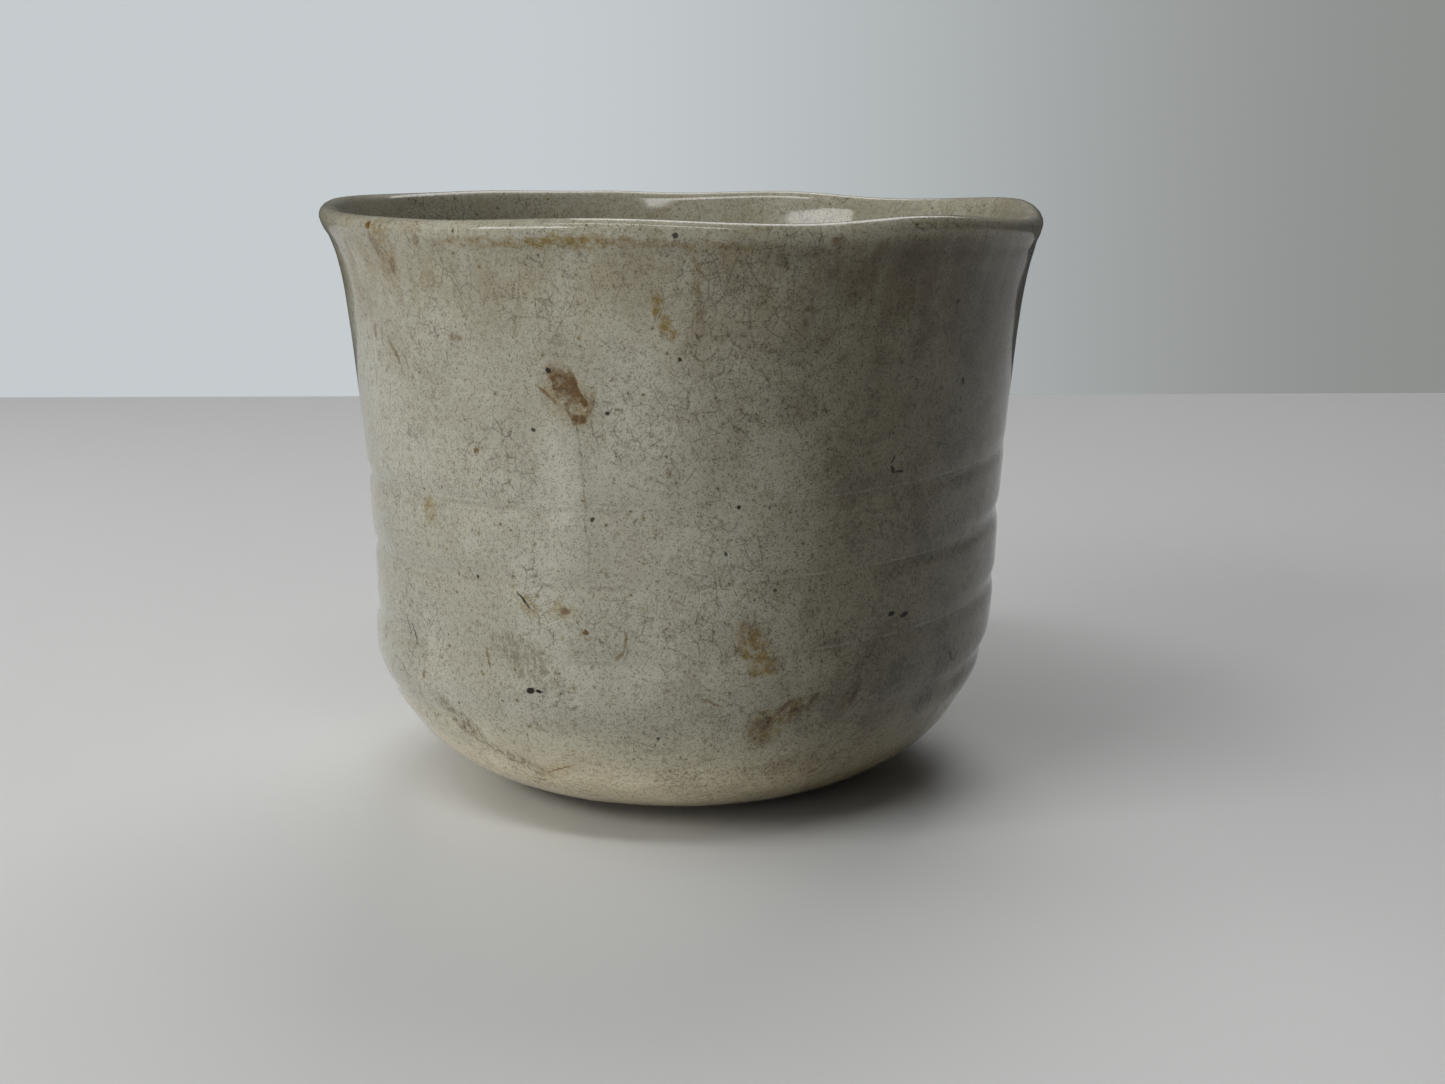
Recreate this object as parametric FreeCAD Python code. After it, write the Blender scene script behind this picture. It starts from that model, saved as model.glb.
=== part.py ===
import FreeCAD, Part

import math
import os

# A deep tea bowl thrown in stoneware: a clay body, the low ring it stands on, and two coats of
# glaze. Millimetres, +Z up, origin on the table under the middle of the bowl. The wall is measured
# over the glaze where a size says so, and on the bare clay otherwise.

# Overall sizes
mouth_diameter = 119.4        # across the lip, over the glaze
bowl_height = 96.3            # table to the mean crest of the lip, over the glaze

# Outline of the clay wall
foot_outer_radius = 27.0
foot_height = 1.6             # how far the foot lifts the belly off the table
belly_radius = 52.6           # widest part of the rounded lower body
belly_height = 28.5
belly_reach = 28.6            # half width of the ellipse that rounds the belly in to the foot
throat_radius = 54.9          # where the lip begins to flare
flare_depth = 24.0            # the flare takes up this much of the height, under the crest
lean_power = 1.6              # how late the wall starts to lean outwards
flare_power = 4.0

# Thicknesses
wall_thickness = 4.2
lip_thickness = 2.4
floor_thickness = 6.5
glaze_thickness = 0.45

# Inside and underneath
well_radius = 8.0             # the flat spot in the middle of the floor
foot_wall = 5.5               # width of the ring
foot_recess = 1.4             # how far the floor is trimmed out above the top of the ring
recess_slope = 1.5            # how much narrower the recess gets on its way up
foot_edge = 0.5               # worn edges of the ring

# Where the glaze ends
bare_band = 3.0               # bare clay between the foot and the start of the outside glaze
glaze_overlap_depth = 8.0     # the outside coat runs over the lip and this far down inside

# Throwing lines: a shallow groove that climbs round the wall like a screw
ridge_pitch = 11.8
ridge_height_in_front = 32.3  # height of one turn of the groove at the front of the bowl
ridge_depth = 0.5
ridge_width = 1.7
ridge_start = 10.0            # the groove begins this far above the foot
ridge_stop = 10.0             # and has gone this far below the flare
ridge_fade = 8.0
inside_ridge_share = 0.5      # the fingers inside press about half as deep

# Hand-made unevenness
wall_drift = 0.85             # the middle of the wall stands this far towards +X
lip_drift = 0.4
drift_start = 20.0            # the drift comes in this far above the foot
drift_rise = 14.0             # over this much height
lip_drift_depth = 6.0         # and goes over to the lip's own drift in this much
# Height of the lip above its mean, all round: degrees from the front (-Y) towards +X
lip_wave = [(-164, -0.65), (-134, 0.0), (-94, 0.75), (-65, 0.1), (-42, 0.25), (-11, 1.15),
            (18, 0.3), (35, 0.85), (73, -1.3), (98, 0.25), (139, -1.45), (160, -0.7),
            (180, -1.15)]

# Fineness of the fitted surfaces
columns_round = 36
belly_steps = 14
wall_spacing = 1.7
lip_steps = 8
well_steps = 10
slope_step = 0.01             # for the slope of the wall


def ease(t):
    """A smooth step from 0 to 1."""
    t = min(max(t, 0.0), 1.0)
    return t * t * (3 - 2 * t)


def lip_lift(angle):
    """Height of the lip above its mean, at an angle in degrees from the front."""
    count = len(lip_wave)
    for k in range(count):
        start, low = lip_wave[k]
        end, high = lip_wave[(k + 1) % count]
        span = (end - start) % 360
        along = (angle - start) % 360
        if along < span:
            return low + (high - low) * ease(along / span)
    return 0.0


def groove(angle, z):
    """Depth of the throwing groove at an angle and a height."""
    turn = (z - ridge_height_in_front) / ridge_pitch - angle / 360
    away = abs(turn - round(turn)) * ridge_pitch
    fade_low = ease((z - foot_height - ridge_start) / ridge_fade)
    fade_high = ease((flare_start - ridge_stop - z) / ridge_fade)
    return ridge_depth * fade_low * fade_high * math.exp(-(away / ridge_width) ** 2)


def drift(z):
    """How far the middle of the bowl stands towards +X at a height."""
    come_in = ease((z - foot_height - drift_start) / drift_rise)
    near_lip = ease((z - crest_height) / lip_drift_depth + 1)
    return come_in * (wall_drift + (lip_drift - wall_drift) * near_lip)


# Sizes that follow from the ones above
crest_height = bowl_height - glaze_thickness
flare_start = crest_height - flare_depth
lip_radius = lip_thickness / 2
lip_height = crest_height - lip_radius
floor_height = foot_height + floor_thickness
foot_inner_radius = foot_outer_radius - foot_wall
mouth_radius = mouth_diameter / 2 - glaze_thickness
lean_at_lip = ((lip_height - belly_height) / (flare_start - belly_height)) ** lean_power
flare = mouth_radius - belly_radius - (throat_radius - belly_radius) * lean_at_lip


def wall_radius(z):
    """Outside radius of the clay wall between the belly and the lip."""
    lean = max(0.0, (z - belly_height) / (flare_start - belly_height)) ** lean_power
    opening = max(0.0, (z - flare_start) / (lip_height - flare_start)) ** flare_power
    return belly_radius + (throat_radius - belly_radius) * lean + flare * opening


def wall_normal(z):
    """Outward direction of the wall in the plane of its outline."""
    slope = (wall_radius(z + slope_step) - wall_radius(z - slope_step)) / (2 * slope_step)
    length = math.hypot(1, slope)
    return 1 / length, -slope / length


def thickness(z):
    """Clay thickness between the belly and the lip."""
    return wall_thickness + (lip_thickness - wall_thickness) * ease((z - flare_start) / flare_depth)


def quarter(center, half_width, bottom, start, steps, inward):
    """Points of an ellipse from low down round to its side, with their outward directions.

    It starts at the height called bottom, a turn of start away from the ellipse's lowest point.
    """
    center_r, center_z = center
    half_height = (center_z - bottom) / math.cos(start)
    points = []
    for k in range(steps):
        turn = start + (math.pi / 2 - start) * k / steps
        out_r = half_height * math.sin(turn)
        out_z = -half_width * math.cos(turn)
        length = math.hypot(out_r, out_z) * (-1 if inward else 1)
        points.append((center_r + half_width * math.sin(turn),
                       center_z - half_height * math.cos(turn),
                       out_r / length, out_z / length, inward))
    return points


def wall_heights():
    """Heights at which the wall is measured, from the belly to the lip."""
    steps = math.ceil((lip_height - belly_height) / wall_spacing)
    return [belly_height + (lip_height - belly_height) * k / steps for k in range(steps + 1)]


def outside_outline():
    """The clay's outline from the foot, round the belly and up to the lip.

    Each point is (radius, height, outward radius, outward height, is it on the inside).
    """
    center_r = belly_radius - belly_reach
    start = math.asin((foot_outer_radius - center_r) / belly_reach)
    points = quarter((center_r, belly_height), belly_reach, foot_height, start, belly_steps, False)
    for z in wall_heights():
        out_r, out_z = wall_normal(z)
        points.append((wall_radius(z), z, out_r, out_z, False))
    return points


def lip_outline():
    """The half round of the lip, from the outside over the crest to the inside."""
    out_r, out_z = wall_normal(lip_height)
    center_r = wall_radius(lip_height) - lip_radius * out_r
    center_z = lip_height - lip_radius * out_z
    start = math.atan2(out_z, out_r)
    points = []
    for k in range(1, lip_steps):
        turn = start + math.pi * k / lip_steps
        over_r = math.cos(turn)
        over_z = math.sin(turn)
        points.append((center_r + lip_radius * over_r, center_z + lip_radius * over_z,
                       over_r, over_z, True))
    return points


def inside_outline():
    """The clay's outline from the lip, down the inside and round to the well."""
    points = []
    for z in reversed(wall_heights()):
        out_r, out_z = wall_normal(z)
        through = thickness(z)
        points.append((wall_radius(z) - through * out_r, z - through * out_z,
                       -out_r, -out_z, True))
    well = quarter((well_radius, belly_height), belly_radius - wall_thickness - well_radius,
                   floor_height, 0.0, well_steps, True)
    return points + well[::-1]


def place(point, angle, coat):
    """The point at an angle round the bowl, moved out by the coat of glaze."""
    r, z, out_r, out_z, inside = point
    share = -inside_ridge_share if inside else 1
    r = r - share * groove(angle, z) + coat * out_r
    lift = lip_lift(angle) * max(0.0, (z - flare_start) / flare_depth) ** 2
    across = drift(z)
    turn = math.radians(angle)
    return FreeCAD.Vector(across + r * math.sin(turn), -r * math.cos(turn),
                          z + coat * out_z + lift)


def outline_lengths(points):
    """Distance along the outline to each of its points."""
    lengths = [0.0]
    for a, b in zip(points, points[1:]):
        lengths.append(lengths[-1] + math.hypot(b[0] - a[0], b[1] - a[1]))
    return lengths


def skin(points, lengths, coat):
    """A closed smooth surface through the outline at every angle."""
    angles = [360 * k / columns_round for k in range(columns_round)]
    turns = list(range(columns_round + 1))
    rows = []
    for point in points:
        ring = Part.BSplineCurve()
        ring.interpolate(Points=[place(point, a, coat) for a in angles], PeriodicFlag=True,
                         Parameters=turns)
        rows.append(ring.getPoles())
    columns = []
    for k in range(len(rows[0])):
        line = Part.BSplineCurve()
        line.interpolate(Points=[row[k] for row in rows], Parameters=lengths)
        columns.append(line.getPoles())
    surface = Part.BSplineSurface()
    surface.buildFromPolesMultsKnots(columns, ring.getMultiplicities(), line.getMultiplicities(),
                                     ring.getKnots(), line.getKnots(), True, False, 3, 3)
    return surface


def bands(surface, breaks, start, end):
    """The faces of a surface from one distance along the outline to another, split at breaks."""
    stops = [start] + [b for b in breaks if start < b < end] + [end]
    faces = []
    for low, high in zip(stops, stops[1:]):
        band = surface.copy()
        band.segment(0, columns_round, low, high)
        faces.append(band.toShape())
    return faces


def ring_edge(surface, distance):
    """The closed edge round a surface at a distance along the outline."""
    return surface.vIso(distance).toShape()


def solid_of(faces):
    """One closed solid from faces that share their edges."""
    shell = Part.Shell(faces)
    shell.sewShape()
    solid = Part.Solid(shell)
    if solid.Volume < 0:
        solid.reverse()
    return solid


def disc(edge):
    """The flat face inside a level closed edge."""
    return Part.Face(Part.Wire([edge]))


def export(shape, node):
    """Write one node and say what it holds."""
    if not shape.isValid() or len(shape.Solids) != 1:
        raise ValueError(node + " is not one valid solid")
    shape.exportStep("parts/" + node + ".step")
    box = shape.BoundBox
    print(node, "volume", round(shape.Volume), "z", round(box.ZMin, 2), round(box.ZMax, 2),
          "x", round(box.XMin, 2), round(box.XMax, 2))


def build():
    up_to_lip = outside_outline()
    over_lip = lip_outline()
    outline = up_to_lip + over_lip + inside_outline()
    lengths = outline_lengths(outline)
    clay_skin = skin(outline, lengths, 0.0)
    glaze_skin = skin(outline, lengths, glaze_thickness)
    glaze_line = bare_band
    overlap_line = lengths[len(up_to_lip) + lip_steps // 2] + glaze_overlap_depth
    well_line = lengths[-1]

    # the skins are split where their shape changes, so that each face stays simple
    half_wall = (len(up_to_lip) - belly_steps) // 2
    marks = [belly_steps, belly_steps + half_wall, len(up_to_lip) - 1,
             len(up_to_lip) + len(over_lip), len(outline) - well_steps - half_wall,
             len(outline) - well_steps]
    breaks = sorted([glaze_line, overlap_line] + [lengths[k] for k in marks])

    # the clay body: its skin, the flat spot in the well, and the trimmed underside
    body = solid_of(bands(clay_skin, breaks, 0, well_line)
                    + [disc(ring_edge(clay_skin, 0)), disc(ring_edge(clay_skin, well_line))])
    recess = Part.makeCone(foot_inner_radius, foot_inner_radius - recess_slope, foot_recess,
                           FreeCAD.Vector(0, 0, foot_height))
    export(body.cut(recess).Solids[0], "clay_body")

    # the foot: a low ring under the belly, with both bottom edges worn
    ring = Part.makeCylinder(foot_outer_radius, foot_height)
    ring = ring.cut(Part.makeCylinder(foot_inner_radius, foot_height))
    bottom_edges = [e for e in ring.Edges if e.BoundBox.ZMax < foot_height / 2]
    export(ring.makeFillet(foot_edge, bottom_edges).Solids[0], "foot_ring")

    # the outside glaze: from just above the foot, over the lip, to its line inside the mouth
    glaze_bottom = Part.makeRuledSurface(ring_edge(clay_skin, glaze_line),
                                         ring_edge(glaze_skin, glaze_line))
    meeting = Part.makeRuledSurface(ring_edge(clay_skin, overlap_line),
                                    ring_edge(glaze_skin, overlap_line))
    outside = solid_of(bands(clay_skin, breaks, glaze_line, overlap_line) + [glaze_bottom]
                       + bands(glaze_skin, breaks, glaze_line, overlap_line) + [meeting])
    export(outside, "outside_glaze")

    # the inside glaze: from that line down to the flat spot in the well
    inside = solid_of(bands(clay_skin, breaks, overlap_line, well_line) + [meeting]
                      + bands(glaze_skin, breaks, overlap_line, well_line)
                      + [disc(ring_edge(clay_skin, well_line)),
                         disc(ring_edge(glaze_skin, well_line))])
    export(inside, "inside_glaze")


os.makedirs("parts", exist_ok=True)
build()
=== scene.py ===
import math

import bmesh
import bpy
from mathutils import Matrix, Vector, noise


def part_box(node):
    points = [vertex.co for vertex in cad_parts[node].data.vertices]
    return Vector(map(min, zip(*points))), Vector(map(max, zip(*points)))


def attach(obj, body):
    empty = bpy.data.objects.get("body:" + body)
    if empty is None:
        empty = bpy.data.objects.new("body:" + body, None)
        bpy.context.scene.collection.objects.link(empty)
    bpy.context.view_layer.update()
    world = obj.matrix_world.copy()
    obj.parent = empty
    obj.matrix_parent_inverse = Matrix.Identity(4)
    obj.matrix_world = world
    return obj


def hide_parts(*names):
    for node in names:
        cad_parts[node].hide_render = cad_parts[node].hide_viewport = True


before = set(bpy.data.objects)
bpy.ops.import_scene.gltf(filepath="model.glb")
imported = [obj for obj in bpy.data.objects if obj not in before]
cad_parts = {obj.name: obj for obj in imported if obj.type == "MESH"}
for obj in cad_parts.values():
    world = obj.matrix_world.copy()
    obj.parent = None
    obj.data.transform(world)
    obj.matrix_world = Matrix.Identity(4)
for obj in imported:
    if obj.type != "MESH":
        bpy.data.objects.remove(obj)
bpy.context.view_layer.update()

print("frame loaded")

# the bowl's outline, in millimetres, the same as the CAD part's

bowl = {
    "mouthDiameter": 119.4,
    "height": 96.3,
    "footRadius": 27.0,
    "footHeight": 1.6,
    "footWall": 5.5,
    "bellyRadius": 52.6,
    "bellyHeight": 28.5,
    "bellyReach": 28.6,
    "throatRadius": 54.9,
    "flareDepth": 24.0,
    "leanPower": 1.6,
    "flarePower": 4.0,
    "wall": 4.2,
    "lip": 2.4,
    "floor": 6.5,
    "glaze": 0.45,
    "wellRadius": 8.0,
    "recessDepth": 1.4,
    "recessSlope": 1.5,
    "bareBand": 3.0,          # bare clay between the foot and the outside glaze
    "overlap": 8.0,           # how far the outside glaze runs down inside the mouth
    "ridgePitch": 11.8,
    "ridgeInFront": 32.3,
    "ridgeDepth": 0.5,
    "ridgeWidth": 1.7,
    "ridgeStart": 10.0,
    "ridgeStop": 10.0,
    "ridgeFade": 8.0,
    "insideRidge": 0.5,
    "wallDrift": 0.85,
    "lipDrift": 0.4,
    "driftStart": 20.0,
    "driftRise": 14.0,
    "lipDriftDepth": 6.0,
    # degrees from the front towards +X, and the height of the lip above its mean
    "lipWave": [(-164, -0.65), (-134, 0.0), (-94, 0.75), (-65, 0.1), (-42, 0.25), (-11, 1.15), (18, 0.3),
                (35, 0.85), (73, -1.3), (98, 0.25), (139, -1.45), (160, -0.7), (180, -1.15)],
}

crest = bowl["height"] - bowl["glaze"]
flareStart = crest - bowl["flareDepth"]
lipRadius = bowl["lip"] / 2
lipHeight = crest - lipRadius
leanAtLip = ((lipHeight - bowl["bellyHeight"]) / (flareStart - bowl["bellyHeight"])) ** bowl["leanPower"]
flare = (bowl["mouthDiameter"] / 2 - bowl["glaze"] - bowl["bellyRadius"]
         - (bowl["throatRadius"] - bowl["bellyRadius"]) * leanAtLip)


def ease(t):
    t = min(max(t, 0.0), 1.0)
    return t * t * (3 - 2 * t)


def hump(distance, width):
    return math.exp(-(distance / width) ** 2)


def lipLift(angle):
    wave = bowl["lipWave"]
    for k, (start, low) in enumerate(wave):
        end, high = wave[(k + 1) % len(wave)]
        along = (angle - start) % 360
        span = (end - start) % 360
        if along < span:
            return low + (high - low) * ease(along / span)
    return 0.0


def ridgeOffset(angle, z):
    # how far above or below the nearest turn of the climbing throwing line
    turn = (z - bowl["ridgeInFront"]) / bowl["ridgePitch"] - angle / 360
    return (turn - round(turn)) * bowl["ridgePitch"]


def groove(angle, z):
    fadeLow = ease((z - bowl["footHeight"] - bowl["ridgeStart"]) / bowl["ridgeFade"])
    fadeHigh = ease((flareStart - bowl["ridgeStop"] - z) / bowl["ridgeFade"])
    return bowl["ridgeDepth"] * fadeLow * fadeHigh * hump(ridgeOffset(angle, z), bowl["ridgeWidth"])


def drift(z):
    comeIn = ease((z - bowl["footHeight"] - bowl["driftStart"]) / bowl["driftRise"])
    nearLip = ease((z - crest) / bowl["lipDriftDepth"] + 1)
    return comeIn * (bowl["wallDrift"] + (bowl["lipDrift"] - bowl["wallDrift"]) * nearLip)


def wallRadius(z):
    lean = max(0.0, (z - bowl["bellyHeight"]) / (flareStart - bowl["bellyHeight"])) ** bowl["leanPower"]
    opening = max(0.0, (z - flareStart) / (lipHeight - flareStart)) ** bowl["flarePower"]
    return bowl["bellyRadius"] + (bowl["throatRadius"] - bowl["bellyRadius"]) * lean + flare * opening


def wallNormal(z):
    slope = (wallRadius(z + 0.01) - wallRadius(z - 0.01)) / 0.02
    length = math.hypot(1, slope)
    return 1 / length, -slope / length


def thickness(z):
    return bowl["wall"] + (bowl["lip"] - bowl["wall"]) * ease((z - flareStart) / bowl["flareDepth"])


def quarter(centerR, centerZ, halfWidth, bottom, start, steps, inward):
    halfHeight = (centerZ - bottom) / math.cos(start)
    points = []
    for k in range(steps):
        turn = start + (math.pi / 2 - start) * k / steps
        outR = halfHeight * math.sin(turn)
        outZ = -halfWidth * math.cos(turn)
        length = math.hypot(outR, outZ) * (-1 if inward else 1)
        points.append((centerR + halfWidth * math.sin(turn), centerZ - halfHeight * math.cos(turn),
                       outR / length, outZ / length, inward))
    return points


def wallHeights(spacing):
    steps = math.ceil((lipHeight - bowl["bellyHeight"]) / spacing)
    return [bowl["bellyHeight"] + (lipHeight - bowl["bellyHeight"]) * k / steps for k in range(steps + 1)]


# about how long the round stretches of the outline are, which sets how many steps they take
bellyLength = 44
lipLength = 5
wellLength = 50


def outline(spacing):
    # points from the foot, round the belly, over the lip and down the inside to the well:
    # radius, height, outward radius, outward height, is it on the inside
    centerR = bowl["bellyRadius"] - bowl["bellyReach"]
    start = math.asin((bowl["footRadius"] - centerR) / bowl["bellyReach"])
    bellySteps = math.ceil(bellyLength / spacing)
    points = quarter(centerR, bowl["bellyHeight"], bowl["bellyReach"], bowl["footHeight"],
                     start, bellySteps, False)
    for z in wallHeights(spacing):
        points.append((wallRadius(z), z, *wallNormal(z), False))
    outR, outZ = wallNormal(lipHeight)
    lipR = wallRadius(lipHeight) - lipRadius * outR
    lipZ = lipHeight - lipRadius * outZ
    tilt = math.atan2(outZ, outR)
    lipSteps = max(8, math.ceil(lipLength / spacing))
    for k in range(1, lipSteps):
        turn = tilt + math.pi * k / lipSteps
        points.append((lipR + lipRadius * math.cos(turn), lipZ + lipRadius * math.sin(turn),
                       math.cos(turn), math.sin(turn), True))
    for z in reversed(wallHeights(spacing)):
        outR, outZ = wallNormal(z)
        through = thickness(z)
        points.append((wallRadius(z) - through * outR, z - through * outZ, -outR, -outZ, True))
    wellSteps = math.ceil(wellLength / spacing)
    wellReach = bowl["bellyRadius"] - bowl["wall"] - bowl["wellRadius"]
    well = quarter(bowl["wellRadius"], bowl["bellyHeight"], wellReach,
                   bowl["footHeight"] + bowl["floor"], 0.0, wellSteps, True)
    return points + well[::-1]


def lengthsOf(points):
    lengths = [0.0]
    for a, b in zip(points, points[1:]):
        lengths.append(lengths[-1] + math.hypot(b[0] - a[0], b[1] - a[1]))
    return lengths


def place(point, angle, coat, relief=0.0):
    r, z, outR, outZ, inside = point
    share = -bowl["insideRidge"] if inside else 1
    out = coat + relief
    r = r - share * groove(angle, z) + out * outR
    lift = lipLift(angle) * max(0.0, (z - flareStart) / bowl["flareDepth"]) ** 2
    turn = math.radians(angle)
    return drift(z) + r * math.sin(turn), -r * math.cos(turn), z + out * outZ + lift


# the outline fits the CAD part's own box, so its millimetres are turned into metres by that box
glazeLow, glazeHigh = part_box("outside_glaze")
lipRows = [p for p in outline(0.5) if p[1] > lipHeight - 2]
rough = [place(p, a, bowl["glaze"]) for p in lipRows for a in range(-180, 180, 3)]
wide = (glazeHigh.y - glazeLow.y) / (max(p[1] for p in rough) - min(p[1] for p in rough))
high = glazeHigh.z / max(p[2] for p in rough)
print("millimetre", round(wide * 1000, 4), round(high * 1000, 4))

# relief that the hands and the kiln left, in millimetres

handwork = {
    "slowSize": 32.0,        # wide unevenness of the wall
    "slowDepth": 0.22,
    "palmSize": 11.0,
    "palmDepth": 0.10,
    "skinSize": 3.2,
    "skinDepth": 0.028,
    "beadHeight": 94.2,      # the roll under the lip and the line beneath it
    "beadWidth": 1.3,
    "beadOut": 0.14,
    "lineHeight": 92.4,
    "lineWidth": 0.8,
    "lineIn": 0.05,
    "ledgeAbove": 0.2,       # a thin thread of clay along the throwing line
    "ledgeWidth": 0.42,
    "ledgeOut": 0.05,
    "ledgeBottom": 18.0,
    "ledgeTop": 62.0,
    "softFront": 0.55,       # how much of the throwing groove the glaze fills in front
    "softMiddle": 5.0,       # degrees from the front, and how far to each side it is full and fades
    "softReach": 30.0,
    "lowBandHeight": 14.2,   # the soft hollow low on the belly
    "lowBandWidth": 2.6,
    "lowBandIn": 0.32,
    "runAngle": -19.0,       # the thick run of glaze left of the middle
    "runTop": 72.0,
    "runBottom": 43.0,
    "runWidth": 3.4,
    "runLean": 0.06,         # degrees to the left for each millimetre up
    "runMiddle": 57.0,
    "runOut": 0.16,
    "edgeRoll": 0.18,        # the glaze is thicker where it stops above the foot
    "edgeWidth": 1.1,
}


def unevenness(x, y, z):
    spot = Vector((x, y, z))
    size = noise.noise(spot / handwork["slowSize"]) * handwork["slowDepth"]
    size += noise.noise(spot / handwork["palmSize"] + Vector((7, 3, 1))) * handwork["palmDepth"]
    return size + noise.noise(spot / handwork["skinSize"] + Vector((2, 9, 4))) * handwork["skinDepth"]


def outsideRelief(point, angle, along):
    h = handwork
    r, z, outR, outZ, inside = point
    turn = math.radians(angle)
    size = unevenness(r * math.sin(turn), -r * math.cos(turn), z) * (1 - ease((z - crest + 4) / 3))
    if inside:
        return size
    underBead = 1 - ease((z - h["beadHeight"] + 0.6) / 1.2)
    size += h["beadOut"] * hump(z - h["beadHeight"], h["beadWidth"]) * underBead
    size -= h["lineIn"] * hump(z - h["lineHeight"], h["lineWidth"])
    patchy = 0.5 + 0.5 * noise.noise(Vector((angle / 25, z / 20, 5)))
    fade = ease((z - h["ledgeBottom"]) / 8) * (1 - ease((z - h["ledgeTop"]) / 6))
    size += h["ledgeOut"] * patchy * fade * hump(ridgeOffset(angle, z) - h["ledgeAbove"], h["ledgeWidth"])
    front = 1 - ease((abs(angle - h["softMiddle"]) - h["softReach"]) / h["softReach"])
    size += h["softFront"] * front * groove(angle, z)
    lowWave = 1.2 * math.sin(math.radians(angle * 2 - 20))
    size -= h["lowBandIn"] * hump(z - h["lowBandHeight"] - lowWave, h["lowBandWidth"])
    across = (angle - h["runAngle"] + h["runLean"] * (z - h["runMiddle"])) * math.pi / 180 * r
    inRun = ease((z - h["runBottom"]) / 4) * ease((h["runTop"] - z) / 8)
    size += h["runOut"] * inRun * (1 - ease((abs(across) - h["runWidth"] + 1) / 1.6))
    return size + h["edgeRoll"] * hump(along - bowl["bareBand"] - h["edgeWidth"], h["edgeWidth"])


def insideRelief(point, angle, along):
    r, z = point[:2]
    turn = math.radians(angle)
    return unevenness(r * math.sin(turn), -r * math.cos(turn), z)


unrollRadius = 55.0        # the unrolled map is true to size at this radius


class Shell:
    # rings of points round the bowl, joined into one closed skin

    def __init__(self):
        self.mesh = bmesh.new()
        self.spot = {}

    def ring(self, point, along, columns, coat, relief=None):
        made = []
        for k in range(columns):
            angle = 360 * k / columns - 180
            extra = relief(point, angle, along) if relief else 0.0
            x, y, z = place(point, angle, coat, extra)
            vert = self.mesh.verts.new((x * wide, y * wide, z * high))
            self.spot[vert] = (k / columns, along)
            made.append(vert)
        return made

    def join(self, low, up):
        # the finer ring has a whole number of points for each point of the coarser one
        if len(low) < len(up):
            low, up = up, low
        times = len(low) // len(up)
        for k in range(len(up)):
            fine = [low[(k * times + j) % len(low)] for j in range(times + 1)]
            self.mesh.faces.new([up[k]] + fine + [up[(k + 1) % len(up)]])

    def cap(self, ring, height, along):
        x = sum(v.co.x for v in ring) / len(ring)
        y = sum(v.co.y for v in ring) / len(ring)
        middle = self.mesh.verts.new((x, y, height))
        self.spot[middle] = (0.5, along)
        for a, b in zip(ring, ring[1:] + ring[:1]):
            self.mesh.faces.new([a, b, middle])

    def finish(self, name, materials, nodes, choose=None):
        bmesh.ops.recalc_face_normals(self.mesh, faces=self.mesh.faces)
        lowest = min(s[1] for s in self.spot.values())
        highest = max(s[1] for s in self.spot.values())
        baked = self.mesh.loops.layers.uv.new("OFBake")
        unrolled = self.mesh.loops.layers.uv.new("unrolled")
        for face in self.mesh.faces:
            face.smooth = True
            turns = [self.spot[loop.vert][0] for loop in face.loops]
            wraps = max(turns) - min(turns) > 0.5
            if choose:
                face.material_index = choose(turns[0], self.spot[face.loops[0].vert][1])
            for loop, turn in zip(face.loops, turns):
                along = self.spot[loop.vert][1]
                if wraps and turn < 0.5:
                    turn += 1
                loop[baked].uv = (turn, (along - lowest) / (highest - lowest))
                loop[unrolled].uv = ((turn - 0.5) * 2 * math.pi * unrollRadius, along)
        data = bpy.data.meshes.new(name)
        self.mesh.to_mesh(data)
        self.mesh.free()
        data.set_sharp_from_angle(angle=math.radians(50))
        for material in materials:
            data.materials.append(material)
        piece = bpy.data.objects.new(name, data)
        bpy.context.scene.collection.objects.link(piece)
        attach(piece, "root")
        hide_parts(*nodes)
        print(name, len(data.polygons), "faces")
        return piece


def rowAt(points, lengths, distance):
    for a, b, start, end in zip(points, points[1:], lengths, lengths[1:]):
        if start <= distance < end:
            share = (distance - start) / (end - start)
            return tuple(p + (q - p) * share for p, q in zip(a[:4], b[:4])) + (b[4],), distance


def cut(points, lengths, low, high):
    # the rows between two distances along the outline, with a row exactly at each end
    rows = [(p, d) for p, d in zip(points, lengths) if low < d < high]
    ends = [rowAt(points, lengths, d) for d in (low, high)]
    return [ends[0]] + rows + ([ends[1]] if ends[1] else [])


fineRows = outline(0.56)
fineLengths = lengthsOf(fineRows)
coarseRows = outline(1.5)
coarseLengths = lengthsOf(coarseRows)
bareLine = bowl["bareBand"]
crestLine = next(d for p, d in zip(fineRows, fineLengths) if p[4])
overlapLine = crestLine + 1.6 + bowl["overlap"]


def alongAt(height):
    # distance up the outside from the foot, for a height on the wall
    for (a, da), (b, db) in zip(zip(fineRows, fineLengths), zip(fineRows[1:], fineLengths[1:])):
        if a[1] <= height <= b[1]:
            return da + (db - da) * (height - a[1]) / (b[1] - a[1])
    return crestLine


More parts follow.
